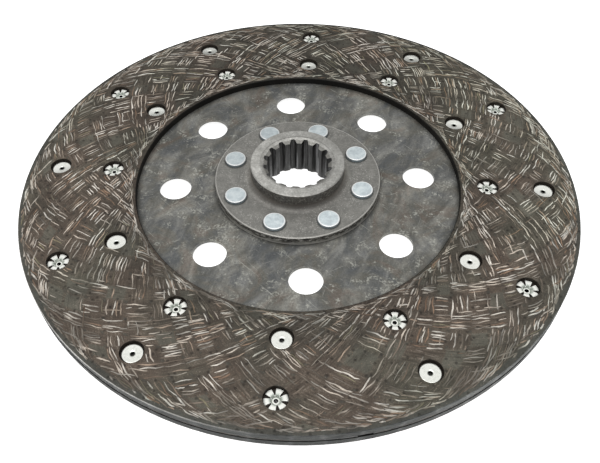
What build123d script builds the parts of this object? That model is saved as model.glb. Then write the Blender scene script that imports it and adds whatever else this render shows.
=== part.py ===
from build123d import *

import os
from math import cos, radians, sin, tan

# Rigid clutch disc. Two friction linings are riveted to a thin steel disc, and the disc is
# riveted to the flange of a splined hub.
# +Z runs along the hub's axis towards its long collar, and z = 0 is the middle of the steel
# disc's thickness. Millimetres and degrees throughout.

os.makedirs("parts", exist_ok=True)

# ---------------------------------------------------------------- driving dimensions

# Friction linings
lining_diameter = 280.0
lining_bore = 165.0
lining_thickness = 3.7
lining_chamfer = 0.35

# Carrier disc
disc_thickness = 1.8
disc_rim_inset = 0.3
lightening_hole_count = 8
lightening_hole_diameter = 16.3
lightening_circle_radius = 63.0
lightening_hole_angle = 90.0
rim_slot_count = 6
rim_slot_width = 6.4
rim_slot_end_radius = 104.0
rim_slot_angle = 37.5

# Hub
flange_diameter = 84.4
flange_thickness = 5.0
flange_chamfer = 0.35
collar_diameter = 47.6
collar_height = 9.5
collar_chamfer = 0.5
collar_fillet = 3.5
spigot_diameter = 46.0
spigot_reach = 5.7
spigot_chamfer = 0.8
spigot_clearance = 0.05

# Splined bore
spline_count = 16
spline_major_diameter = 35.0
spline_minor_diameter = 31.0
spline_groove_mouth = 3.6
spline_groove_floor = 1.95
spline_corner_radius = 0.4
spline_angle = 83.3
mouth_chamfer_diameter = 36.8
mouth_chamfer_angle = 30.0

# Hub rivets
hub_rivet_count = 8
hub_rivet_circle_radius = 34.2
hub_rivet_shank_diameter = 6.4
hub_rivet_head_diameter = 10.8
hub_rivet_head_height = 1.5
hub_rivet_head_rounding = 0.4
hub_rivet_tail_height = 2.0
hub_rivet_tail_rounding = 1.0

# Lining rivets: a flat head at one end, and a tube split into rolled petals at the other
lining_rivet_count = 12
outer_circle_from_rim = 15.7
inner_circle_from_bore = 13.9
first_rivet_angle = 112.5
counterbore_diameter = 10.8
counterbore_depth = 2.5
rivet_shank_diameter = 5.0
rivet_head_diameter = 9.3
rivet_head_thickness = 0.95
rivet_head_rounding = 0.2
rivet_vent_diameter = 1.8
rivet_dimple_diameter = 3.2
rivet_dimple_depth = 0.35
petal_count = 6
petal_circle_diameter = 9.9
petal_crest_diameter = 7.4
petal_crest_height = 1.0
petal_tip_height = 0.35
petal_gap_root_diameter = 4.5
petal_gap_root_width = 0.45
petal_gap_rim_width = 2.15
petal_corner_radius = 0.8
cup_floor_depth = 0.55
cup_floor_diameter = 3.4
cup_lip_diameter = 2.7
cup_lip_height = 0.3
outer_petal_turn = -15.0
inner_petal_turn = 30.0

# Room round every rivet shank in its holes
rivet_hole_clearance = 0.05

# ---------------------------------------------------------------- levels and radii

disc_face = disc_thickness / 2
lining_face = disc_face + lining_thickness
rivet_seat = lining_face - counterbore_depth
flange_face = disc_face + flange_thickness
collar_face = flange_face + collar_height
spigot_face = disc_face + spigot_reach

outer_circle_radius = lining_diameter / 2 - outer_circle_from_rim
inner_circle_radius = lining_bore / 2 + inner_circle_from_bore
lining_rivet_hole_radius = rivet_shank_diameter / 2 + rivet_hole_clearance
hub_rivet_hole_radius = hub_rivet_shank_diameter / 2 + rivet_hole_clearance
hub_rivet_angle = lightening_hole_angle - 180.0 / hub_rivet_count
lining_rivet_pitch = 360.0 / lining_rivet_count


def write(piece, name):
    """Label a finished piece and write it as a node of that name."""
    piece.part.label = name
    export_step(piece.part, f"parts/{name}.step")


# ---------------------------------------------------------------- friction linings


def build_lining(name, side):
    """One friction ring: side is 1 for the front of the disc and -1 for the rear."""
    with BuildPart() as lining:
        with BuildSketch(Plane.XY.offset(side * disc_face)):
            Circle(lining_diameter / 2)
            Circle(lining_bore / 2, mode=Mode.SUBTRACT)
        extrude(amount=side * lining_thickness)
        worn_face = lining.faces().filter_by(Plane.XY).sort_by(Axis.Z)[-1 if side > 0 else 0]
        chamfer(worn_face.edges(), length=lining_chamfer)
        for radius in (outer_circle_radius, inner_circle_radius):
            with BuildSketch(Plane.XY.offset(side * disc_face)):
                with PolarLocations(radius, lining_rivet_count, first_rivet_angle):
                    Circle(lining_rivet_hole_radius)
            extrude(amount=side * lining_thickness, mode=Mode.SUBTRACT)
            with BuildSketch(Plane.XY.offset(side * rivet_seat)):
                with PolarLocations(radius, lining_rivet_count, first_rivet_angle):
                    Circle(counterbore_diameter / 2)
            extrude(amount=side * counterbore_depth, mode=Mode.SUBTRACT)
    write(lining, name)


build_lining("front_lining", 1)
build_lining("rear_lining", -1)

# ---------------------------------------------------------------- carrier disc

with BuildPart() as carrier_disc:
    with BuildSketch(Plane.XY.offset(-disc_face)):
        Circle(lining_diameter / 2 - disc_rim_inset)
        Circle(spigot_diameter / 2 + spigot_clearance, mode=Mode.SUBTRACT)
        with PolarLocations(lightening_circle_radius, lightening_hole_count, lightening_hole_angle):
            Circle(lightening_hole_diameter / 2, mode=Mode.SUBTRACT)
        with PolarLocations(hub_rivet_circle_radius, hub_rivet_count, hub_rivet_angle):
            Circle(hub_rivet_hole_radius, mode=Mode.SUBTRACT)
        for circle_radius in (outer_circle_radius, inner_circle_radius):
            with PolarLocations(circle_radius, lining_rivet_count, first_rivet_angle):
                Circle(lining_rivet_hole_radius, mode=Mode.SUBTRACT)
        # Each rim slot is a straight cut from the rim that ends in a half circle
        with PolarLocations(rim_slot_end_radius, rim_slot_count, rim_slot_angle):
            Circle(rim_slot_width / 2, mode=Mode.SUBTRACT)
            Rectangle(
                lining_diameter / 2 - rim_slot_end_radius,
                rim_slot_width,
                align=(Align.MIN, Align.CENTER),
                mode=Mode.SUBTRACT,
            )
    extrude(amount=disc_thickness)
write(carrier_disc, "carrier_disc")

# ---------------------------------------------------------------- hub

spigot_radius = spigot_diameter / 2
flange_radius = flange_diameter / 2
collar_radius = collar_diameter / 2
spline_minor_radius = spline_minor_diameter / 2
spline_major_radius = spline_major_diameter / 2
mouth_radius = mouth_chamfer_diameter / 2
mouth_depth = mouth_radius * tan(radians(mouth_chamfer_angle))

with BuildPart() as hub:
    with BuildSketch(Plane.XZ):
        with BuildLine():
            Polyline(
                (collar_radius, flange_face + collar_fillet),
                (collar_radius, collar_face - collar_chamfer),
                (collar_radius - collar_chamfer, collar_face),
                (0, collar_face),
                (0, -spigot_face),
                (spigot_radius - spigot_chamfer, -spigot_face),
                (spigot_radius, spigot_chamfer - spigot_face),
                (spigot_radius, disc_face),
                (flange_radius - flange_chamfer, disc_face),
                (flange_radius, disc_face + flange_chamfer),
                (flange_radius, flange_face - flange_chamfer),
                (flange_radius - flange_chamfer, flange_face),
                (collar_radius + collar_fillet, flange_face),
            )
            TangentArc(
                (collar_radius + collar_fillet, flange_face),
                (collar_radius, flange_face + collar_fillet),
                tangent=(-1, 0),
            )
        make_face()
    revolve(axis=Axis.Z)

    # The bore is the minor circle with grooves that narrow towards the major circle.
    # Each groove's outline starts well inside the minor circle, so that the two join.
    groove_start = spline_minor_radius / 2
    with BuildSketch(Plane.XY.offset(-spigot_face)) as bore_section:
        with PolarLocations(0, spline_count, spline_angle + 180 / spline_count):
            Polygon(
                (groove_start, -spline_groove_mouth / 2),
                (spline_minor_radius, -spline_groove_mouth / 2),
                (spline_major_radius, -spline_groove_floor / 2),
                (spline_major_radius, spline_groove_floor / 2),
                (spline_minor_radius, spline_groove_mouth / 2),
                (groove_start, spline_groove_mouth / 2),
                align=None,
            )
        fillet(bore_section.vertices().group_by(SortBy.DISTANCE)[-1], radius=spline_corner_radius)
        Circle(spline_minor_radius)
    extrude(amount=spigot_face + collar_face, mode=Mode.SUBTRACT)

    # A cone at each end of the bore leads the shaft in
    for face_level, inward in ((collar_face, -1), (-spigot_face, 1)):
        with BuildSketch(Plane.XZ):
            with BuildLine():
                Polyline(
                    (0, face_level),
                    (mouth_radius, face_level),
                    (0, face_level + inward * mouth_depth),
                    close=True,
                )
            make_face()
        revolve(axis=Axis.Z, mode=Mode.SUBTRACT)

    with BuildSketch(Plane.XY.offset(disc_face)):
        with PolarLocations(hub_rivet_circle_radius, hub_rivet_count, hub_rivet_angle):
            Circle(hub_rivet_hole_radius)
    extrude(amount=flange_thickness, mode=Mode.SUBTRACT)
write(hub, "hub")

# ---------------------------------------------------------------- hub rivets


def section_plane(radius, angle, up):
    """A plane on a rivet's axis: its x runs away from the hub's axis, and its y along up."""
    outward = Vector(cos(radians(angle)), sin(radians(angle)), 0)
    return Plane(origin=outward * radius, x_dir=outward, z_dir=outward.cross(Vector(0, 0, up)))


def build_hub_rivet(name, angle):
    """A solid rivet through the flange and the disc, headed at both ends."""
    head_radius = hub_rivet_head_diameter / 2
    shank_radius = hub_rivet_shank_diameter / 2
    head_face = flange_face + hub_rivet_head_height
    tail_face = disc_face + hub_rivet_tail_height
    section = section_plane(hub_rivet_circle_radius, angle, 1)
    with BuildPart() as rivet:
        with BuildSketch(section):
            with BuildLine():
                Polyline(
                    (head_radius, head_face - hub_rivet_head_rounding),
                    (head_radius, flange_face),
                    (shank_radius, flange_face),
                    (shank_radius, -disc_face),
                    (head_radius, -disc_face),
                    (head_radius, hub_rivet_tail_rounding - tail_face),
                )
                TangentArc(
                    (head_radius, hub_rivet_tail_rounding - tail_face),
                    (head_radius - hub_rivet_tail_rounding, -tail_face),
                    tangent=(0, -1),
                )
                Polyline(
                    (head_radius - hub_rivet_tail_rounding, -tail_face),
                    (0, -tail_face),
                    (0, head_face),
                    (head_radius - hub_rivet_head_rounding, head_face),
                )
                TangentArc(
                    (head_radius - hub_rivet_head_rounding, head_face),
                    (head_radius, head_face - hub_rivet_head_rounding),
                    tangent=(1, 0),
                )
            make_face()
        revolve(axis=Axis(section.origin, (0, 0, 1)))
    write(rivet, name)


for index in range(hub_rivet_count):
    build_hub_rivet(f"hub_rivet_{index + 1}", hub_rivet_angle - index * 360 / hub_rivet_count)

# ---------------------------------------------------------------- lining rivets


def build_lining_rivet(name, radius, angle, petal_side, petal_turn):
    """A tubular rivet: flat head in one counterbore, petals in the other.

    petal_side is 1 where the petals are at the front and -1 where they are at the rear.
    petal_turn is the angle of the first petal from the outward direction.
    """
    vent_radius = rivet_vent_diameter / 2
    shank_radius = rivet_shank_diameter / 2
    head_radius = rivet_head_diameter / 2
    head_face = -rivet_seat - rivet_head_thickness
    tip_radius = petal_circle_diameter / 2
    crest_radius = petal_crest_diameter / 2
    cup_floor = rivet_seat - cup_floor_depth
    cup_lip = cup_floor + cup_lip_height
    section = section_plane(radius, angle, petal_side)
    with BuildPart() as rivet:
        with BuildSketch(section):
            with BuildLine():
                Polyline(
                    (head_radius, head_face + rivet_head_rounding),
                    (head_radius, -rivet_seat),
                    (shank_radius, -rivet_seat),
                    (shank_radius, rivet_seat),
                    (tip_radius, rivet_seat),
                    (tip_radius, rivet_seat + petal_tip_height),
                )
                # The tube's mouth flares like a bell, and its edge rolls back down
                TangentArc(
                    (crest_radius, rivet_seat + petal_crest_height),
                    (tip_radius, rivet_seat + petal_tip_height),
                    tangent=(1, 0),
                )
                TangentArc(
                    (crest_radius, rivet_seat + petal_crest_height),
                    (cup_floor_diameter / 2, cup_floor),
                    tangent=(-1, 0),
                )
                Polyline(
                    (cup_floor_diameter / 2, cup_floor),
                    (cup_lip_diameter / 2, cup_floor),
                    (cup_lip_diameter / 2, cup_lip),
                    (vent_radius, cup_lip),
                    (vent_radius, head_face + rivet_dimple_depth),
                    (rivet_dimple_diameter / 2, head_face),
                    (head_radius - rivet_head_rounding, head_face),
                )
                TangentArc(
                    (head_radius - rivet_head_rounding, head_face),
                    (head_radius, head_face + rivet_head_rounding),
                    tangent=(1, 0),
                )
            make_face()
        revolve(axis=Axis(section.origin, (0, 0, 1)))

        # The gaps are what a flower of round-cornered petals leaves of its circle
        with BuildSketch(mode=Mode.PRIVATE) as flower:
            Circle(tip_radius)
            with PolarLocations(0, petal_count, 180 / petal_count):
                Polygon(
                    (petal_gap_root_diameter / 2, -petal_gap_root_width / 2),
                    (tip_radius, -petal_gap_rim_width / 2),
                    (tip_radius + petal_gap_rim_width, -petal_gap_rim_width / 2),
                    (tip_radius + petal_gap_rim_width, petal_gap_rim_width / 2),
                    (tip_radius, petal_gap_rim_width / 2),
                    (petal_gap_root_diameter / 2, petal_gap_root_width / 2),
                    align=None,
                    mode=Mode.SUBTRACT,
                )
            fillet(flower.vertices().group_by(SortBy.DISTANCE)[-1], radius=petal_corner_radius)
        petal_plane = Plane(
            origin=section.origin + Vector(0, 0, petal_side * rivet_seat),
            x_dir=section.x_dir.rotate(Axis.Z, petal_turn),
            z_dir=(0, 0, petal_side),
        )
        with BuildSketch(petal_plane):
            Circle(counterbore_diameter / 2)
            add(flower.sketch, mode=Mode.SUBTRACT)
        extrude(amount=petal_crest_height, mode=Mode.SUBTRACT)
    write(rivet, name)


# Heads and petals take turns round each circle, and across from one circle to the other
for index in range(lining_rivet_count):
    rivet_angle = first_rivet_angle - index * lining_rivet_pitch
    outer_side = -1 if index % 2 == 0 else 1
    build_lining_rivet(
        f"lining_rivet_outer_{index + 1}", outer_circle_radius, rivet_angle, outer_side, outer_petal_turn
    )
    build_lining_rivet(
        f"lining_rivet_inner_{index + 1}", inner_circle_radius, rivet_angle, -outer_side, inner_petal_turn
    )
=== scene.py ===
"""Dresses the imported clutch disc: yarn-wound linings, steel finishes, studio and camera."""

import logging
from dataclasses import dataclass, field, fields
from enum import Enum
from typing import NamedTuple

import bpy
import numpy as np
from mathutils import Matrix, Vector


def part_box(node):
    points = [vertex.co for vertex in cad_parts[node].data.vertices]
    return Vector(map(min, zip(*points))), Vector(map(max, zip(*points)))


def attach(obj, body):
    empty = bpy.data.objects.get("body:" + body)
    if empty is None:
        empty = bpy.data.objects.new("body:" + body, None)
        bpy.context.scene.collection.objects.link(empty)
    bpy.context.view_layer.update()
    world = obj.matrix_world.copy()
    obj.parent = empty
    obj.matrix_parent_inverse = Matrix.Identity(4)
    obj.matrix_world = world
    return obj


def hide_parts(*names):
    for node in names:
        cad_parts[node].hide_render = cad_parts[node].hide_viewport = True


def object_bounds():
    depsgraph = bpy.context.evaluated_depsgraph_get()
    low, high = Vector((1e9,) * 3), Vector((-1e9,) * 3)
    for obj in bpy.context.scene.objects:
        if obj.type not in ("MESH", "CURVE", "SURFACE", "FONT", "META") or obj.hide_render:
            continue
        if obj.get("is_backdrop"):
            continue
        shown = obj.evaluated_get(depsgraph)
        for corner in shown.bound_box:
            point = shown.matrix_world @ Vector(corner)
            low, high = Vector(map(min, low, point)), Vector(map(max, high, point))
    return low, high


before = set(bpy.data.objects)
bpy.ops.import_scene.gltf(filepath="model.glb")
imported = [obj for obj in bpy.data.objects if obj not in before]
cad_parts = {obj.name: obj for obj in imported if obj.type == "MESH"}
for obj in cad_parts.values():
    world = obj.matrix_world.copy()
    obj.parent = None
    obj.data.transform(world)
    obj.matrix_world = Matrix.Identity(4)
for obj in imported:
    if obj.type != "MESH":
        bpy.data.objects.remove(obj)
cad_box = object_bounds()

log = logging.getLogger("clutch_disc")

MM = 0.001  # one millimetre in Blender's metres
WHITE = (1.0, 1.0, 1.0, 1.0)

Source = bpy.types.Node | bpy.types.NodeSocket  # a node stands for its first output in use
Stops = tuple[tuple[float, str], ...]  # a colour ramp's places, each with its sRGB hex colour


class Noise(NamedTuple):
    """A noise pattern, with what a noise node takes after its vector, in the node's order.

    The scale counts features per millimetre, or per unit of a stretched vector.
    """

    scale: float
    detail: float
    roughness: float = 0.5
    lacunarity: float = 2.0
    distortion: float = 0.0


# ---------------------------------------------------------------- shared helpers


def linear(hex_code: str) -> tuple[float, float, float, float]:
    """Turn an sRGB hex colour into Blender's linear colour.

    Args:
        hex_code: six hex digits, such as "5A4F46".

    Returns:
        Linear red, green and blue, with an alpha of 1.
    """
    channels = np.array([int(hex_code[i : i + 2], 16) for i in (0, 2, 4)]) / 255
    values = np.where(channels <= 0.04045, channels / 12.92, ((channels + 0.055) / 1.055) ** 2.4)
    return (*values.tolist(), 1.0)


def dress(node: str, material: bpy.types.Material) -> None:
    """Give a CAD node its finish in every slot."""
    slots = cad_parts[node].data.materials
    for index in range(len(slots)):
        slots[index] = material
    log.info("%s: %s", node, material.name)


def make_piece(
    name: str, points: np.ndarray, faces: list, material: bpy.types.Material
) -> bpy.types.Object:
    """Make a smooth-shaded piece of the part, which rides on its one body.

    Args:
        name: the piece's name.
        points: its vertices in millimetres.
        faces: its faces, as lists of vertex numbers.
        material: its finish.

    Returns:
        The finished object.
    """
    mesh = bpy.data.meshes.new(name)
    mesh.from_pydata((points.reshape(-1, 3) * MM).tolist(), [], faces)
    mesh.polygons.foreach_set("use_smooth", np.ones(len(mesh.polygons), bool))
    mesh.materials.append(material)
    mesh.update()
    piece = bpy.data.objects.new(name, mesh)
    bpy.context.scene.collection.objects.link(piece)
    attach(piece, "root")
    log.info("%s: %d faces", name, len(mesh.polygons))
    return piece


@dataclass(frozen=True)
class Place:
    """Where a shaded point lies about the hub's axis, in millimetres and radians."""

    point: Source
    radius: Source
    turn: Source
    height: Source


@dataclass(frozen=True)
class Graph:
    """A tree of shader nodes, and the ways in which the finishes add to it."""

    tree: bpy.types.NodeTree

    def feed(self, node: bpy.types.Node, *values: object, **named: object) -> bpy.types.Node:
        """Put plain values, nodes or sockets into a node's inputs.

        Args:
            node: the node.
            *values: what goes into those of its inputs that are in use, in their order.
            **named: what goes into its inputs by name, with _ for each space.

        Returns:
            The same node.
        """
        in_use = [socket for socket in node.inputs if socket.enabled]
        pairs = [*zip(in_use, values)]
        pairs += [(node.inputs[name.replace("_", " ")], value) for name, value in named.items()]
        for socket, value in pairs:
            if isinstance(value, bpy.types.Node):
                value = next(output for output in value.outputs if output.enabled)
            if isinstance(value, bpy.types.NodeSocket):
                self.tree.links.new(value, socket)
            else:
                socket.default_value = value
        return node

    def add(self, kind: str, *values: object, stops: Stops = (), **named: object) -> bpy.types.Node:
        """Add one node with its settings, values and links.

        Args:
            kind: the node's type, without its ShaderNode prefix, and after a dot its operation.
            *values: what goes into its inputs, as in feed.
            stops: a colour ramp's stops.
            **named: inputs by name, which start with a capital, and the node's own settings.

        Returns:
            The new node.
        """
        kind, _, operation = kind.partition(".")
        node = self.tree.nodes.new("ShaderNode" + kind)
        if operation:
            node.operation = operation
        for name in [name for name in named if name.islower()]:
            setattr(node, name, named.pop(name))
        if stops:
            elements = node.color_ramp.elements
            for _ in stops[2:]:
                elements.new(0.5)
            for element, (place, colour) in zip(elements, stops):
                element.position, element.color = place, linear(colour)
        return self.feed(node, *values, **named)

    def product(self, *factors: object) -> object:
        """Multiply some factors.

        Args:
            *factors: nodes, sockets or values. A tuple stands for a Map Range node and holds what
                goes into it: a value, where it starts and ends, and the results at those two.

        Returns:
            What gives the product.
        """
        total = None
        for factor in factors:
            if isinstance(factor, tuple):
                factor = self.add("MapRange", *factor)
            if total is None:
                total = factor
            else:
                total = self.add("Math.MULTIPLY", total, factor)
        return total

    def shade(self, colour: Source, *factors: object) -> bpy.types.Node:
        """Make a colour lighter or darker by some factors, given as in product."""
        return self.add("VectorMath.SCALE", colour, self.product(*factors))

    def lay(self, below: Source | str, above: Source | str, *shares: object) -> bpy.types.Node:
        """Lay one colour over another.

        Args:
            below: the colour below, as sRGB hex or from a node.
            above: the colour above.
            *shares: how much of it shows, from 0 to 1, as factors in product.

        Returns:
            The node that gives the mixed colour.
        """
        pair = (linear(colour) if isinstance(colour, str) else colour for colour in (below, above))
        return self.add("Mix", self.product(*shares), *pair, data_type="RGBA")

    def point(self) -> bpy.types.Node:
        """Give the shaded point in millimetres, from Object coordinates."""
        coordinates = self.add("TexCoord").outputs["Object"]
        return self.add("VectorMath.SCALE", coordinates, 1 / MM)

    def place(self) -> Place:
        """Read the shaded point as a radius, an angle and a height.

        Returns:
            Those three, with the point itself.
        """
        point = self.point()
        axes = self.add("SeparateXYZ", point).outputs
        flat = self.add("CombineXYZ", axes["X"], axes["Y"])
        radius = self.add("VectorMath.LENGTH", flat)
        turn = self.add("Math.ARCTAN2", axes["Y"], axes["X"])
        return Place(point, radius, turn, axes["Z"])

    def facing_side(self, place: Place, degrees: float) -> bpy.types.Node:
        """Give the cosine of the angle from one side: 1 there, and -1 on the opposite side."""
        off = self.add("Math.ADD", place.turn, -float(np.radians(degrees)))
        return self.add("Math.COSINE", off)

    def off_centre(self, value: Source, centre: float) -> bpy.types.Node:
        """Give how far a value lies from a centre, on either side."""
        off = self.add("Math.SUBTRACT", value, centre)
        return self.add("Math.ABSOLUTE", off)

    def off_holes(self, place: Place, count: int, first: float, circle: float) -> bpy.types.Node:
        """Measure how far a point is, seen along the axis, from the nearest of some even centres.

        The angle is folded into one pitch about the centre on that pitch, and the distance is the
        length from there to (radius cos angle, radius sin angle).

        Args:
            place: the shaded point.
            count: how many centres lie on the circle.
            first: the angle of one of them, in degrees.
            circle: the circle's radius in millimetres.

        Returns:
            The node that gives the distance in millimetres.
        """
        add, pitch = self.add, 2 * np.pi / count
        shifted = add("Math.ADD", place.turn, pitch / 2 - np.radians(first))
        part = add("Math.FLOORED_MODULO", shifted, pitch)
        folded = add("Math.SUBTRACT", part, pitch / 2)
        outward, sideways = (
            add("Math.MULTIPLY", add("Math." + wave, folded), place.radius)
            for wave in ("COSINE", "SINE")
        )
        outward = add("Math.SUBTRACT", outward, circle)
        return add("VectorMath.LENGTH", add("CombineXYZ", outward, sideways))


@dataclass(frozen=True)
class Finish:
    """A surface finish: plain shader values, and the graph that each finish paints over them."""

    label: str
    metallic: float = 0.0
    roughness: float = 0.5
    specular: float = 0.5

    def material(self) -> bpy.types.Material:
        """Make the material: a shader with its plain values, fed by the finish's own graph.

        Returns:
            The finished material.
        """
        material = bpy.data.materials.new(self.label)
        material.use_nodes = True
        graph = Graph(material.node_tree)
        graph.tree.nodes.clear()
        shader = graph.add("BsdfPrincipled", Metallic=self.metallic, Roughness=self.roughness)
        shader.inputs["Specular IOR Level"].default_value = self.specular
        graph.add("OutputMaterial", shader)
        graph.feed(shader, **self.paint(graph))
        return material

    def paint(self, graph: Graph) -> dict[str, object]:
        """Give what feeds the shader's inputs, by name: nothing, unless a finish says more."""
        return {}


# ---------------------------------------------------------------- winding


class Family(Enum):
    """The two directions in which the yarn crosses the ring."""

    LEADING = 1
    TRAILING = -1


@dataclass(frozen=True)
class Winding:
    """How yarn lies in a scramble-wound lining, in millimetres and radians.

    Every strand swings between the bore and the rim. At swing angle t, from 0 on the rim to pi
    at the bore, a strand that left the rim at angle u is at radius mean + reach cos t and at
    angle u + s t / swings, where s is its family's direction. Strands lie in bands, and band
    number b grows by `bands` in one turn of u, with two slow waves that make the bands uneven.

    A band's rank is the fraction left of its number times its family's stride. Where two bands
    cross, the higher rank lies on top, helped or hindered by a bias that changes sign from one
    crossing to the next. So some bands run on top for a long way and others show in short lengths.
    A crossing's scattered number is the fraction left of a steep sine of both numbers, and where
    it is below smooth_share, the crossing is ground smooth.
    """

    mean_radius: float = 111.25
    reach: float = 27.2
    swings: float = 3.5
    bands: int = 52
    band_share: float = 0.86
    turn_back: float = 0.12
    strands: int = 5
    strides: tuple[float, float] = (0.618034, 0.569841)
    bias: float = 0.26
    smooth_share: float = 0.1
    scatter: tuple[float, float] = (1.7, 2.9)
    steepness: float = 43.7
    wave_counts: tuple[int, int] = (5, 13)
    wave_sizes: tuple[float, float] = (0.26, 0.11)
    wave_phases: tuple[float, float] = (0.7, 2.1)

    def band_number(self, u: np.ndarray) -> np.ndarray:
        """Give the band number at rim angle u: a steady count plus two sine waves."""
        steady = u * self.bands / (2 * np.pi)
        waves = zip(self.wave_counts, self.wave_sizes, self.wave_phases)
        return steady + sum(size * np.sin(count * u + phase) for count, size, phase in waves)

    def rim_angle(self, number: np.ndarray) -> np.ndarray:
        """Give the rim angle of a band number, by reading band_number backwards."""
        table = np.linspace(-4 * np.pi, 6 * np.pi, 24001)
        return np.interp(number, self.band_number(table), table)

    def leading_on_top(self, leading: np.ndarray, trailing: np.ndarray) -> np.ndarray:
        """Say where a leading band lies on top of a trailing one, from their whole numbers."""
        first = np.mod(np.mod(leading, self.bands) * self.strides[0], 1.0)
        second = np.mod(np.mod(trailing, self.bands) * self.strides[1], 1.0)
        return first - second + self.bias * (1 - 2 * np.mod(leading + trailing, 2)) > 0

    def ground_smooth(self, leading: np.ndarray, trailing: np.ndarray) -> np.ndarray:
        """Say which crossings are ground smooth, from the same numbers."""
        first, second = self.scatter
        angle = first * np.mod(leading, self.bands) + second * np.mod(trailing, self.bands)
        return np.mod(self.steepness * np.sin(angle), 1.0) < self.smooth_share

    def crossing_nodes(self, graph: Graph, *numbers: Source) -> tuple[Source, Source]:
        """Build leading_on_top and the scattered number in a shader.

        Args:
            graph: the material's graph.
            *numbers: the leading band's whole number and the trailing band's.

        Returns:
            A node that is 1 where the leading band lies on top, and one that gives the crossing's
            scattered number.
        """
        add = graph.add
        wrapped = [add("Math.FLOORED_MODULO", n, float(self.bands)) for n in numbers]
        ranks = [
            add("Math.FRACT", add("Math.MULTIPLY", number, stride))
            for number, stride in zip(wrapped, self.strides)
        ]
        odd = add("Math.FLOORED_MODULO", add("Math.ADD", *wrapped), 2.0)
        edge = add("Math.MULTIPLY_ADD", odd, 2 * self.bias, -self.bias)
        lead = add("Math.SUBTRACT", *ranks)
        on_top = add("Math.GREATER_THAN", lead, edge)
        part = add("Math.MULTIPLY", wrapped[1], self.scatter[1])
        angle = add("Math.MULTIPLY_ADD", wrapped[0], self.scatter[0], part)
        sine = add("Math.SINE", angle)
        steep = add("Math.MULTIPLY", sine, self.steepness)
        return on_top, add("Math.FLOORED_MODULO", steep, 1.0)

    def swing_node(self, graph: Graph, place: Place) -> Source:
        """Build the swing angle in a shader: the arc cosine of (radius - mean) / reach."""
        share = graph.add("Math.SUBTRACT", place.radius, self.mean_radius)
        share = graph.add("Math.DIVIDE", share, self.reach)
        share = graph.add("Clamp", share, -1.0, 1.0)
        return graph.add("Math.ARCCOSINE", share)

    def band_node(self, graph: Graph, place: Place, swing: Source, family: Family) -> Source:
        """Build one family's band number in a shader, with u the angle less s t / swings.

        Args:
            graph: the material's graph.
            place: the shaded point.
            swing: the swing angle there.
            family: the family.

        Returns:
            The node that gives the band number.
        """
        part = (swing, -family.value / self.swings, place.turn)
        u = graph.add("Math.MULTIPLY_ADD", *part)
        number = graph.add("Math.MULTIPLY", u, self.bands / (2 * np.pi))
        for count, size, phase in zip(self.wave_counts, self.wave_sizes, self.wave_phases):
            angle = graph.add("Math.MULTIPLY_ADD", u, float(count), phase)
            wave = graph.add("Math.SINE", angle)
            number = graph.add("Math.MULTIPLY_ADD", wave, size, number)
        return number


@dataclass(frozen=True)
class LiningFinish(Finish):
    """What the resin and the yarn of a lining share: how their tint drifts round it."""

    soaking: Noise = Noise(0.03, 2.0)
    olive_side: float = 35.0
    olive_share: float = 0.07

    def soak(self, graph: Graph, place: Place) -> bpy.types.Node:
        """Build the share that picks the tint: slow noise, lower towards the olive side.

        Args:
            graph: the material's graph.
            place: the shaded point.

        Returns:
            A node that gives about 0.5, down to 0.4 where olive and up to 0.6 where reddish.
        """
        noise = graph.add("TexNoise", place.point, *self.soaking)
        side = graph.facing_side(place, self.olive_side)
        return graph.add("Math.MULTIPLY_ADD", side, -self.olive_share, noise)


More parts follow.
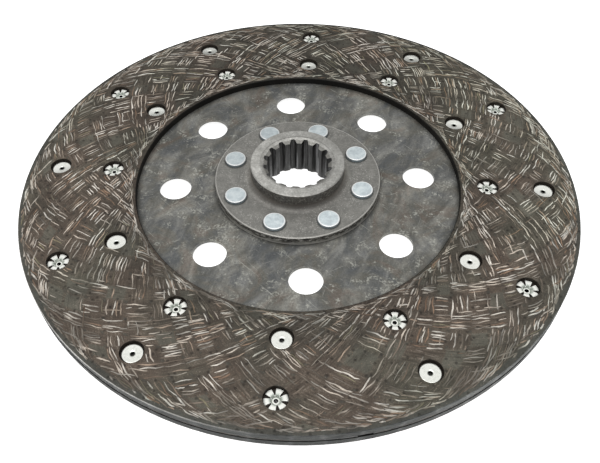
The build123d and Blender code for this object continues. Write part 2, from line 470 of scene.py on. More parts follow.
@dataclass(frozen=True)
class FrictionLiningFinish(LiningFinish):
    """Ground face of a resin-bonded lining, wound from glass yarn and copper wire.

    Grinding leaves the resin dull grey-brown. Smooth darker squares show where no band of yarn
    passes, browner bands where one does, and faint threads run along each band.
    """

    label: str = "ground_wound_lining"
    roughness: float = 0.62
    specular: float = 0.3
    winding: Winding = field(default_factory=Winding)
    blotches: Noise = Noise(0.13, 4.0, 0.6)
    grain: Noise = Noise(1.5, 4.0, 0.75)
    threads: Noise = Noise(1.0, 2.0)
    streaks: Noise = Noise(2.6, 4.0, 0.65)
    face_level: float = 4.57
    back_level: float = 0.9
    strip_from: float = 136.4
    hole_count: int = 12
    first_hole: float = 112.5
    hole_circles: tuple[float, float] = (124.3, 96.4)
    hole_radius: float = 5.4
    resin: str = "4D4A42"
    band: str = "554F46"
    thread: str = "8C8276"
    furrow: str = "2B261F"
    threads_across: float = 10.0
    threads_along: float = 4.5
    smooth: str = "5A5950"
    painted_side_shade: float = 0.6
    soaked: Stops = ((0.4, "514F44"), (0.5, "554F45"), (0.6, "594D43"))
    rim: Stops = ((0.34, "2A2B2B"), (0.5, "424443"), (0.68, "636460"))
    rear_share: float = 0.8
    bore: str = "262420"
    corner: str = "CFCDC8"
    painted_counterbore_shade: str = "2A241E"
    copper: str = "7A6654"
    pale: str = "9A9084"
    pit: str = "1C1814"
    strip: str = "494B46"
    painted_gap_shade: str = "100F0E"
    painted_highlight_side: float = 203.0
    painted_sheen_side: float = -50.0

    def paint(self, graph: Graph) -> dict[str, object]:
        """Paint the lining: its ground face, its edges, then mottling and painted shade over both.

        Args:
            graph: the material's graph.

        Returns:
            What feeds the shader's inputs, by name.
        """
        add, lay, shade = graph.add, graph.lay, graph.shade
        place = graph.place()
        blotch = add("TexNoise", place.point, *self.blotches)
        grain = add("TexNoise", place.point, *self.grain)

        # A band covers the middle share of each band number. Its threads are noise cells about
        # 0.9 mm across the band and 8 mm along it.
        swing = self.winding.swing_node(graph, place)
        half = self.winding.band_share / 2
        wander = add("Math.SUBTRACT", blotch, 0.5)
        cover, threads, whole = [], [], []
        for family in Family:
            number = self.winding.band_node(graph, place, swing, family)
            loose = add("Math.MULTIPLY_ADD", wander, 0.5, number)
            away = graph.off_centre(add("Math.FRACT", loose), 0.5)
            limits = (half - 0.06, half + 0.06, 1.0, 0.0)
            cover.append(add("MapRange", away, *limits, interpolation_type="SMOOTHSTEP"))
            across = add("Math.MULTIPLY", number, self.threads_across)
            along = add("Math.MULTIPLY", swing, self.threads_along)
            lane = add("CombineXYZ", across, along, 9.0 * family.value)
            threads.append(add("TexNoise", lane, *self.threads))
            whole.append(add("Math.FLOOR", loose))

        on_top, scattered = self.winding.crossing_nodes(graph, *whole)
        under = add("Math.MULTIPLY", *cover)
        trailing_hidden = add("Math.MULTIPLY", under, on_top)
        leading_hidden = add("Math.SUBTRACT", under, trailing_hidden)
        shows = [
            add("Math.SUBTRACT", part, hidden)
            for part, hidden in zip(cover, (leading_hidden, trailing_hidden))
        ]
        drawn = [graph.product(part, noise) for part, noise in zip(shows, threads)]
        thread = add("Math.ADD", *drawn)
        banded = add("Math.MAXIMUM", *cover)
        # Each crossing of two bands is ground to its own depth, and some quite smooth and grey
        share = self.winding.smooth_share
        smooth = graph.product((scattered, share, share + 0.05, 0.7, 0.0), under)
        rough = add("Math.SUBTRACT", 1.0, smooth)
        threaded = graph.product((thread, 0.52, 0.68), (grain, 0.38, 0.62, 0.0, 0.6))
        threaded = graph.product(threaded, rough)

        # Resin soaks the yarn unevenly, so some patches of band are olive and some reddish
        colour = lay(self.resin, self.band, banded)
        stain = add("ValToRGB", self.soak(graph, place), stops=self.soaked)
        colour = lay(colour, stain, graph.product(banded, 0.7))
        colour = lay(colour, self.smooth, smooth)
        colour = lay(colour, self.thread, threaded)
        # Between the threads the colour is darker
        shown = add("Math.ADD", *shows)
        colour = lay(colour, self.furrow, (thread, 0.3, 0.46, 0.5, 0.0), shown)
        # The outermost strip of the face has no yarn and is smooth and dark
        limits = (self.strip_from, self.strip_from + 1.6, 0.0, 0.75)
        colour = lay(colour, self.strip, (place.radius, *limits))
        # Cut ends of copper wire and glass 0.4 to 0.6 mm across, and pits of about 1 mm
        for solid, scale, size, tint in (
            ("3D", 0.45, 0.04, self.copper),
            ("3D", 0.7, 0.05, self.pale),
            ("2D", 0.19, 0.07, self.pit),
        ):
            cells = add("TexVoronoi", place.point, scale, voronoi_dimensions=solid)
            colour = lay(colour, tint, (cells, size, size + 0.1, 0.6, 0.0))

        # The moulded rim and bore show no bands, only streaks along the winding direction
        along = add("CombineXYZ", graph.product(place.turn, 9.0), place.height)
        streak = add("TexNoise", along, *self.streaks)
        edge = add("ValToRGB", streak, stops=self.rim)
        # Painted shade darkens the rear rim, and a painted sheen lightens it on one side
        front = add("Math.GREATER_THAN", place.height, 0.0)
        painted_sheen = (graph.facing_side(place, self.painted_sheen_side), 0.86, 0.99, 1.0, 2.0)
        edge = shade(edge, (front, 0.0, 1.0, self.rear_share, 1.0), painted_sheen)
        # Inside the mean radius lies the bore wall, painted near black as shade
        outside = add("Math.GREATER_THAN", place.radius, self.winding.mean_radius)
        edge = lay(self.bore, edge, outside)
        # A painted highlight lies along the ground corner of the rim, on one side only
        level, face = add("Math.ABSOLUTE", place.height), self.face_level
        painted_highlight = (graph.facing_side(place, self.painted_highlight_side), 0.5, 0.95, 0.0, 1.0)
        edge = lay(edge, self.corner, (level, face - 0.75, face - 0.45, 0.0, 0.9), outside, painted_highlight)
        # The back, seen only in the disc's slots and as the seam, is painted near black as shade
        painted_gap_shade = add("Math.LESS_THAN", level, self.back_level + 0.12)
        edge = lay(edge, self.painted_gap_shade, painted_gap_shade)
        colour = lay(edge, colour, (level, face - 0.1, face))

        # Mottling lies over everything, painted shade darkens the far side, and the face
        # darkens towards the bore
        colour = shade(
            colour,
            (blotch, 0.35, 0.65, 0.78, 1.22),
            (grain, 0.3, 0.7, 0.7, 1.28),
            (scattered, 0.0, 1.0, 1.1, 0.86),
            (add("Math.SINE", place.turn), 0.3, 1.0, 1.0, self.painted_side_shade),
            (place.radius, 84.0, 108.0, 0.66),
        )
        # Painted shade fills the counterbores round the rivets, near black
        holes = (place, self.hole_count, self.first_hole)
        off = [graph.off_holes(*holes, circle) for circle in self.hole_circles]
        nearest = add("Math.MINIMUM", *off)
        inside = add("Math.LESS_THAN", nearest, self.hole_radius + 0.1)
        below = add("Math.LESS_THAN", level, face - 0.02)
        height = add("Math.MULTIPLY_ADD", threaded, 0.6, grain)
        limits = (0.0, 1.0, self.roughness - 0.12, self.roughness + 0.08)
        return {
            "Base_Color": lay(colour, self.painted_counterbore_shade, inside, below),
            "Roughness": add("MapRange", banded, *limits),
            "Normal": add("Bump", Height=height, Strength=0.6, Distance=0.08 * MM),
        }


@dataclass(frozen=True)
class YarnFinish(LiningFinish):
    """Ground glass yarn with copper wire: pale, dry fibres that split along their length."""

    label: str = "ground_glass_yarn"
    roughness: float = 0.6
    specular: float = 0.4
    casts: Stops = ((0.4, "F8FAF1"), (0.5, "FBFAF7"), (0.6, "FEF8F3"))
    fibres: Noise = Noise(1.4, 3.0, 0.7)
    fibre_stretch: tuple[float, float, float] = (0.5, 4.0, 1.0)
    wear: Noise = Noise(0.065, 3.0)
    wear_tilt: float = 0.045
    filled: str = "5E584F"
    painted_side_shade: float = 0.15

    def paint(self, graph: Graph) -> dict[str, object]:
        """Paint the yarn over the strands' own colours, along their lengthwise UV map.

        Args:
            graph: the material's graph.

        Returns:
            What feeds the shader's inputs, by name.
        """
        add = graph.add
        # Glass filaments are 0.01 mm thick, too fine to show, so bundles of 0.2 mm are drawn
        lengthwise = add("UVMap", uv_map="lengthwise")
        stretched = add("Mapping", lengthwise, Scale=self.fibre_stretch)
        fibre = add("TexNoise", stretched, *self.fibres)
        base = add("VertexColor", layer_name="strand")
        colour = graph.shade(base, (fibre, 0.3, 0.7, 0.62, 1.25))
        # Yarn takes the cast of the resin round it: olive in some patches, pinkish in others
        place = graph.place()
        cast = add("ValToRGB", self.soak(graph, place), stops=self.casts)
        colour = add("VectorMath.MULTIPLY", colour, cast)
        # In some patches resin still covers most of the yarn
        side = add("Math.SINE", place.turn)
        wear = add("TexNoise", place.point, *self.wear)
        wear = add("Math.MULTIPLY_ADD", side, self.wear_tilt, wear)
        colour = graph.lay(colour, self.filled, (wear, 0.36, 0.5, 0.7, 0.0))
        # Painted shade dulls it on two opposite sides, and it is darker along the bore and the rim
        square = add("Math.MULTIPLY", side, side)
        painted_side_shade = add("Math.MULTIPLY_ADD", square, -self.painted_side_shade, 1.0)
        darker_towards_edges = [(place.radius, 84.0, 106.0, 0.7), (place.radius, 139.0, 124.0, 0.74)]
        return {
            "Base_Color": graph.shade(colour, painted_side_shade, *darker_towards_edges),
            "Normal": add("Bump", Height=fibre, Strength=0.4, Distance=0.05 * MM),
        }


@dataclass(frozen=True)
class Runs:
    """Lengths of strand that show on a ground face, one entry each in arrays of equal size."""

    direction: np.ndarray
    rim_angle: np.ndarray
    start: np.ndarray
    end: np.ndarray

    @classmethod
    def joined(cls, pieces: list["Runs"]) -> "Runs":
        """Put several lists of runs end to end."""
        return cls(*(np.concatenate([getattr(p, f.name) for p in pieces]) for f in fields(cls)))

    def keep(self, mask: np.ndarray) -> "Runs":
        """Give only the runs that the mask marks."""
        return Runs(*(getattr(self, f.name)[mask] for f in fields(self)))


def lengths(lines: np.ndarray) -> np.ndarray:
    """Measure each line of an array of lines by points by coordinates."""
    return np.linalg.norm(np.diff(lines, axis=1), axis=-1).sum(axis=1)


@dataclass
class YarnLayer:
    """The yarn that grinding has bared on one face of one lining, sizes in millimetres.

    A reach is in bands, and a stray's swing and half length are in radians of swing.
    """

    name: str
    side: int
    seed: int
    winding: Winding
    face_level: float = 4.6
    strand_width: tuple[float, float] = (0.52, 0.98)
    crest_share: float = 0.56
    strand_rise: float = 0.1
    strand_root: float = 0.04
    shortest: float = 2.8
    rim_limit: float = 138.4
    bore_limit: float = 83.2
    hole_clearance: float = 5.75
    spacing_spread: float = 0.022
    bared_share: float = 0.82
    missed_share: float = 0.12
    join_share: float = 0.88
    join_reach: float = 0.58
    band_reach: tuple[float, float] = (0.36, 0.62)
    strand_reach: tuple[float, float] = (0.85, 1.12)
    least_swing: float = 0.03
    break_share: float = 0.1
    break_swing: float = 0.14
    stray_count: int = 380
    turn_count: int = 150
    wave_size: float = 0.26
    skew_spread: float = 0.035
    jitter: float = 0.05
    stations: int = 9
    hole_stations: int = 25
    tile_gap: float = 3.7
    palette: tuple[tuple[str, float], ...] = (
        ("E9E0D4", 0.36),
        ("FFFCF4", 0.3),
        ("AEA294", 0.14),
        ("C2AE9C", 0.11),
        ("A68C77", 0.06),
        ("A09B82", 0.03),
    )
    flanks: tuple[tuple[str, float], ...] = (
        ("2B261F", 0.5),
        ("3A3024", 0.25),
        ("4F3E31", 0.16),
        ("3D3B29", 0.09),
    )

    def centreline(self, runs: Runs, count: int) -> np.ndarray:
        """Place points evenly along each run.

        Args:
            runs: the runs.
            count: how many points each run gets.

        Returns:
            An array of runs by points by (x, y).
        """
        t = runs.start[:, None] + (runs.end - runs.start)[:, None] * np.linspace(0, 1, count)
        radius = self.winding.mean_radius + self.winding.reach * np.cos(t)
        angle = runs.rim_angle[:, None] + runs.direction[:, None] * t / self.winding.swings
        return np.stack([radius * np.cos(angle), radius * np.sin(angle)], axis=-1)

    def family_runs(self, family: Family, rng: np.random.Generator) -> Runs:
        """Find where each strand of one family's bands lies on top.

        Args:
            family: the family.
            rng: the layer's own random numbers.

        Returns:
            The runs, one for each crossing where the strand's band is on top. Runs at
            neighbouring crossings overlap a little, so a band that stays on top shows long
            unbroken strands.
        """
        w, s = self.winding, family.value
        crossings = np.arange(-1, int(w.bands / w.swings) + 3)
        band, strand = np.meshgrid(np.arange(w.bands), np.arange(w.strands), indexing="ij")
        offset = (strand - (w.strands - 1) / 2) * w.band_share / w.strands
        number = band + 0.5 + offset + rng.normal(0, self.spacing_spread, band.shape)
        u = w.rim_angle(number.ravel())[:, None]
        mine = band.ravel()[:, None]
        other = mine + s * crossings
        pair = (mine, other) if family is Family.LEADING else (other, mine)
        on_top = w.leading_on_top(*pair) == (family is Family.LEADING)
        on_top &= ~w.ground_smooth(*pair) | (rng.random(other.shape) < self.missed_share)
        on_top &= rng.random(other.shape) < self.bared_share
        # The strands of one band start and stop together where another band covers them
        grid = (w.bands, w.strands, len(crossings))
        reaches = []
        for _ in ("before", "after"):
            together = rng.uniform(*self.band_reach, (w.bands, 1, len(crossings)))
            together = np.broadcast_to(together, grid).reshape(other.shape)
            reaches.append(together * rng.uniform(*self.strand_reach, other.shape))
        before, after = reaches
        held = rng.random((len(u), len(crossings) - 1)) < self.join_share
        joins = on_top[:, :-1] & on_top[:, 1:] & held
        after[:, :-1] = np.where(joins, self.join_reach, after[:, :-1])
        before[:, 1:] = np.where(joins, self.join_reach, before[:, 1:])
        start, end = (
            np.clip(
                w.swings * s * (w.rim_angle(other + 0.5 + s * reach) - u) / 2,
                w.turn_back, np.pi - w.turn_back,
            )
            for reach in (-before, after)
        )
        direction = np.full(other.shape, float(s))
        whole = Runs(direction, np.broadcast_to(u, other.shape), start, end)
        return whole.keep(on_top & (end - start > self.least_swing))

    def strays(self, rng: np.random.Generator) -> list[Runs]:
        """Add short lengths of either family.

        Args:
            rng: the layer's own random numbers.

        Returns:
            Strays anywhere on the face, more where the yarn turns back along the rim, and more
            where it does so along the bore.
        """
        edge = self.winding.turn_back + 0.1
        pieces = []
        for count, swing, reach in (
            (self.stray_count, (edge, np.pi - edge), (0.05, 0.15)),
            (self.turn_count, (0.32, 0.62), (0.07, 0.2)),
            (self.turn_count, (np.pi - 0.42, np.pi + 0.42), (0.1, 0.3)),
        ):
            half = rng.uniform(*reach, count)
            t = rng.uniform(*swing, count)
            direction = rng.choice([-1.0, 1.0], count)
            pieces.append(Runs(direction, rng.uniform(0, 2 * np.pi, count), t - half, t + half))
        return pieces

    def broken(self, runs: Runs, rng: np.random.Generator) -> Runs:
        """Break some runs in two where the grinding missed the strand.

        Args:
            runs: the whole runs.
            rng: the layer's own random numbers.

        Returns:
            The runs after breaking.
        """
        swing = runs.end - runs.start
        split = (rng.random(swing.shape) < self.break_share) & (swing > self.break_swing)
        cut = runs.start + swing * rng.uniform(0.3, 0.7, swing.shape)
        gap = rng.uniform(0.01, 0.035, swing.shape)
        place = runs.direction, runs.rim_angle
        first = Runs(*place, runs.start, np.where(split, cut - gap, runs.end))
        return Runs.joined([first, Runs(*place, cut + gap, runs.end).keep(split)])

    def clear_of_holes(self, runs: Runs, holes: np.ndarray) -> Runs:
        """Cut each run back to its longer part outside the counterbores.

        Args:
            runs: the runs.
            holes: the counterbores' centres, holes by (x, y).

        Returns:
            The runs that are still long enough to show.
        """
        points = self.centreline(runs, self.hole_stations)
        inside = np.zeros(points.shape[:2], bool)
        for hole in holes:
            inside |= np.linalg.norm(points - hole, axis=-1) < self.hole_clearance
        hit = inside.any(axis=1)
        step = (runs.end - runs.start) / (self.hole_stations - 1)
        before = runs.start + step * (np.argmax(inside, axis=1) - 1)
        after = runs.end - step * (np.argmax(inside[:, ::-1], axis=1) - 1)
        front = before - runs.start > runs.end - after
        start = np.where(hit & ~front, after, runs.start)
        end = np.where(hit & front, before, runs.end)
        cut = Runs(runs.direction, runs.rim_angle, start, end)
        points = self.centreline(cut, self.hole_stations)
        radius = np.linalg.norm(points, axis=-1)
        within = (radius.max(axis=1) < self.rim_limit) & (radius.min(axis=1) > self.bore_limit)
        return cut.keep((end > start) & (lengths(points) > self.shortest) & within)

    def section(self) -> np.ndarray:
        """Give the four corners' places across a strand of unit width."""
        return np.array([0.5, self.crest_share / 2, -self.crest_share / 2, -0.5])

    def faces(self, count: int) -> list[list[int]]:
        """Give the faces of all the strands: quads round each strand, triangles at its tips.

        Args:
            count: how many strands there are.

        Returns:
            Lists of vertex numbers. A strand's rings of four come first, then its two tips.
        """
        rings = self.stations - 2
        per_run = rings * 4 + 2
        i, j = np.meshgrid(np.arange(rings - 1), np.arange(4), indexing="ij")
        k = (j + 1) % 4
        quads = np.stack([i * 4 + j, (i + 1) * 4 + j, (i + 1) * 4 + k, i * 4 + k], axis=-1)
        j, k, last = np.arange(4), np.arange(1, 5) % 4, (rings - 1) * 4
        start_tip = np.stack([np.full(4, per_run - 2), j, k], axis=-1)
        end_tip = np.stack([np.full(4, per_run - 1), last + k, last + j], axis=-1)
        shift = (np.arange(count) * per_run)[:, None, None]
        faces = []
        for block in (quads.reshape(-1, 4), np.concatenate([start_tip, end_tip])):
            faces += (block[None, :, :: self.side] + shift).reshape(-1, block.shape[1]).tolist()
        return faces

    def build(self, holes: np.ndarray, material: bpy.types.Material) -> None:
        """Make the layer as one mesh of low, pointed ridges.

        Each ridge follows its run with a slow sideways wave. Its cross-section is a trapezium,
        two flanks in the resin and a flat crest between them, and it shrinks to a blunt point at
        both ends as the 0.3 power of a sine does.

        Args:
            holes: the counterbores' centres.
            material: the yarn's material.
        """
        rng = np.random.default_rng(self.seed)
        wound = [self.family_runs(family, rng) for family in Family]
        runs = self.broken(Runs.joined(wound + self.strays(rng)), rng)
        runs = self.clear_of_holes(runs, holes)
        count, stations = len(runs.start), self.stations
        line = self.centreline(runs, stations)
        forward = np.gradient(line, axis=1)
        forward /= np.linalg.norm(forward, axis=-1, keepdims=True)
        sideways = np.stack([-forward[..., 1], forward[..., 0]], axis=-1)
        length = lengths(line)
        along = np.linspace(0, 1, stations)
        phase = rng.uniform(0, 2 * np.pi, (count, 1))
        turns = along * length[:, None] * rng.uniform(0.3, 0.9, (count, 1))
        wave = self.wave_size * np.sin(turns + phase)
        skew = rng.normal(0, self.skew_spread, (count, 1)) * length[:, None] * (along - 0.5)
        wave = wave + skew + rng.normal(0, self.jitter, (count, stations))
        line = line + sideways * wave[..., None]
        # No strand wanders over the edge of the face
        radius = np.linalg.norm(line, axis=-1, keepdims=True)
        line *= np.clip(radius, self.bore_limit + 0.3, self.rim_limit + 0.5) / radius

        along = along[1:-1]
        taper = np.sin(np.pi * along) ** 0.3
        width = rng.uniform(*self.strand_width, (count, 1)) * taper
        width = width * rng.uniform(0.8, 1.2, (count, stations - 2))
        rise = self.strand_rise * taper * rng.uniform(0.7, 1.0, (count, 1))
        middle, side = line[:, 1:-1, None], sideways[:, 1:-1, None]
        ring = np.zeros((count, stations - 2, 4, 3))
        ring[..., :2] = middle + side * (width[..., None] * self.section())[..., None]
        ring[:, :, 1:3, 2] = rise[..., None]
        ring[:, :, ::3, 2] = -self.strand_root
        tips = np.full((count, 2, 3), -self.strand_root)
        tips[:, :, :2] = line[:, [0, -1]]
        points = np.concatenate([ring.reshape(count, -1, 3), tips], axis=1)
        points[..., 2] = self.side * (self.face_level + points[..., 2])

        piece = make_piece(self.name, points, self.faces(count), material)
        self.colour(piece.data, rng, count, along)
        self.unwrap(piece.data, along * length[:, None], length, width)
        log.info("%s: %d strands", self.name, count)

    def colour(
        self, mesh: bpy.types.Mesh, rng: np.random.Generator, count: int, along: np.ndarray
    ) -> None:
        """Colour each strand from the palette, uneven along it and fading at its ends.

        Args:
            mesh: the layer's mesh.
            rng: the layer's own random numbers.
            count: how many strands there are.
            along: where the rings lie along a strand, from 0 to 1.
        """
        picked = []
        for options in (self.palette, self.flanks):
            codes, shares = zip(*options)
            colours = np.array([linear(code) for code in codes])
            picked.append(colours[rng.choice(len(codes), count, p=np.array(shares))][:, None])
        crest, flank = picked
        strength = rng.beta(2.0, 0.62, (count, 1))
        turns = along * rng.uniform(3, 14, (count, 1))
        wave = 1 + 0.3 * np.sin(turns + rng.uniform(0, 6.3, (count, 1)))
        fade = np.clip(strength * wave * np.sin(np.pi * along) ** 0.3, 0, 1)[..., None]
        crest = flank + (crest - flank) * fade
        flank = np.broadcast_to(flank, crest.shape)
        rings = np.stack([flank, crest, crest, flank], axis=2).reshape(count, -1, 4)
        rgba = np.concatenate([rings, flank[:, :2]], axis=1)
        layer = mesh.color_attributes.new("strand", "FLOAT_COLOR", "POINT")
        layer.data.foreach_set("color", rgba.ravel())

    def unwrap(
        self, mesh: bpy.types.Mesh, along: np.ndarray, length: np.ndarray, width: np.ndarray
    ) -> None:
        """Give each strand a UV map in millimetres: u runs along it, and v across it.

        Args:
            mesh: the layer's mesh.
            along: how far along its strand each ring lies.
            length: each strand's length.
            width: each strand's width at each ring.
        """
        base = np.arange(len(length))[:, None] * self.tile_gap
        v = width[..., None] * self.section()
        u = np.broadcast_to((along + base)[..., None], v.shape)
        rings = np.stack([u, v], axis=-1).reshape(len(length), -1, 2)
        tips = np.zeros((len(length), 2, 2))
        tips[:, :, 0] = np.concatenate([base, base + length[:, None]], axis=1)
        per_vertex = np.concatenate([rings, tips], axis=1).reshape(-1, 2)
        corner = np.zeros(len(mesh.loops), np.int32)
        mesh.loops.foreach_get("vertex_index", corner)
        layer = mesh.uv_layers.new(name="lengthwise")
        layer.data.foreach_set("uv", per_vertex[corner].ravel().astype(np.float32))


@dataclass
class Linings:
    """The two friction linings and the yarn bared on their faces."""

    winding: Winding = field(default_factory=Winding)
    seeds: tuple[int, int] = (41, 77)

    def holes(self) -> np.ndarray:
        """Read the counterbores' centres from the lining rivets in model.glb, in millimetres."""
        boxes = (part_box(name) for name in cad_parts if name.startswith("lining_rivet_"))
        return np.array([((low + high) / 2 / MM)[:2] for low, high in boxes])

    def build(self) -> None:
        """Dress both rings and lay the yarn on their worn faces."""
        body = FrictionLiningFinish(winding=self.winding).material()
        yarn = YarnFinish().material()
        holes = self.holes()
        for node, side, seed in zip(("front_lining", "rear_lining"), (1, -1), self.seeds):
            dress(node, body)
            YarnLayer(node + "_yarn", side, seed, self.winding).build(holes, yarn)


# ---------------------------------------------------------------- steel parts


@dataclass(frozen=True)
class RolledSheetFinish(Finish):
    """Hot-rolled sheet steel, oiled and handled.

    Thin mill scale looks blue-grey and cloudy. Handling leaves greenish and brownish stains,
    colonies of fine pale specks where the scale has flaked, and fine bright scratches.
    """

    label: str = "hot_rolled_sheet"
    metallic: float = 0.4
    cloudy: Noise = Noise(1.0, 8.0, 0.66, distortion=0.9)
    cloud_size: tuple[float, float, float] = (26.0, 13.0, 20.0)
    stained: Noise = Noise(0.042, 5.0, 0.6, distortion=1.6)
    colonies: Noise = Noise(0.085, 5.0, 0.65, distortion=1.5)
    specks: Noise = Noise(0.9, 3.0, 0.6)
    veins: Noise = Noise(0.16, 6.0, 0.7, distortion=0.8)
    drawn: Noise = Noise(1.0, 2.0, distortion=0.3)
    drawn_size: tuple[float, float, float] = (16.0, 0.8, 1.0)
    drawn_shift: tuple[float, float] = (31.0, 17.0)
    grain: Noise = Noise(1.0, 4.0, 0.7)
    clouds: Stops = ((0.36, "414140"), (0.47, "5B5B58"), (0.53, "757470"), (0.65, "9D9C96"))
    stains: Stops = ((0.38, "63676A"), (0.47, "6E6F6C"), (0.56, "77756B"), (0.64, "7C6F62"))
    stain_share: float = 0.45
    flake: str = "B0B0A7"
    crackle: str = "454543"
    scratch: str = "B4B4AC"
    roll_turn: float = 1.05
    drawn_turns: tuple[float, float, float] = (0.35, 1.2, 2.3)
    dark_inside: float = 43.5
    dark_outside: float = 81.0
    slot_middle: float = 112.0
    slot_reach: float = 27.4

    def paint(self, graph: Graph) -> dict[str, object]:
        """Paint the sheet: clouds and stains, flaked scale, crackle, scratches, then dirt.

        Args:
            graph: the material's graph.

        Returns:
            What feeds the shader's inputs, by name.
        """
        add, lay = graph.add, graph.lay
        place = graph.place()
        # Clouds lie aslant, as the sheet came off the roll
        slant = ((0.0, 0.0, 0.0), (0.0, 0.0, self.roll_turn), self.cloud_size)
        slanted = add("Mapping", place.point, *slant, vector_type="TEXTURE")
        cloud = add("TexNoise", slanted, *self.cloudy)
        stain = add("TexNoise", place.point, *self.stained)
        tint = add("ValToRGB", stain, stops=self.stains)
        colour = lay(add("ValToRGB", cloud, stops=self.clouds), tint, self.stain_share)
        # Flaked scale: specks 0.5 to 1 mm across, thick in some patches and absent in others
        colony = add("TexNoise", place.point, *self.colonies)
        speck = add("TexNoise", place.point, *self.specks)
        colour = lay(colour, self.flake, (colony, 0.53, 0.62), (speck, 0.46, 0.6, 0.0, 0.85))
        # Crackle: fine dark veins where the noise crosses its middle value, in the unflaked scale
        vein = add("TexNoise", place.point, *self.veins)
        colour = lay(colour, self.crackle, (graph.off_centre(vein, 0.5), 0.0, 0.014, 0.5, 0.0))
        # Scratches: noise cells 16 mm long and 0.8 mm wide, in three directions
        marks = None
        for index, turn in enumerate(self.drawn_turns):
            moved = (*(shift * index for shift in self.drawn_shift), 0.0)
            along = (moved, (0.0, 0.0, turn), self.drawn_size)
            drawn = add("Mapping", place.point, *along, vector_type="TEXTURE")
            line = add("MapRange", add("TexNoise", drawn, *self.drawn), 0.69, 0.75, 0.0, 0.5)
            marks = add("Math.MAXIMUM", marks, line) if marks else line
        colour = lay(colour, self.scratch, marks)

        # Painted shade darkens the sheet against the flange and under the edge of the linings,
        # and in the rim slots, between the linings, it is black
        grain = add("TexNoise", place.point, *self.grain)
        in_slot = graph.off_centre(place.radius, self.slot_middle)
        colour = graph.shade(
            colour,
            (grain, 0.3, 0.7, 0.8, 1.22),
            (place.radius, self.dark_inside - 1.0, self.dark_inside + 0.5, 0.6, 1.0),
            (place.radius, self.dark_outside - 1.0, self.dark_outside + 1.3, 1.0, 0.6),
            (in_slot, self.slot_reach - 0.1, self.slot_reach, 0.06),
        )
        return {
            "Base_Color": colour,
            "Roughness": add("MapRange", cloud, 0.3, 0.7, 0.4, 0.6),
            "Normal": add("Bump", Height=grain, Strength=0.35, Distance=0.05 * MM),
        }


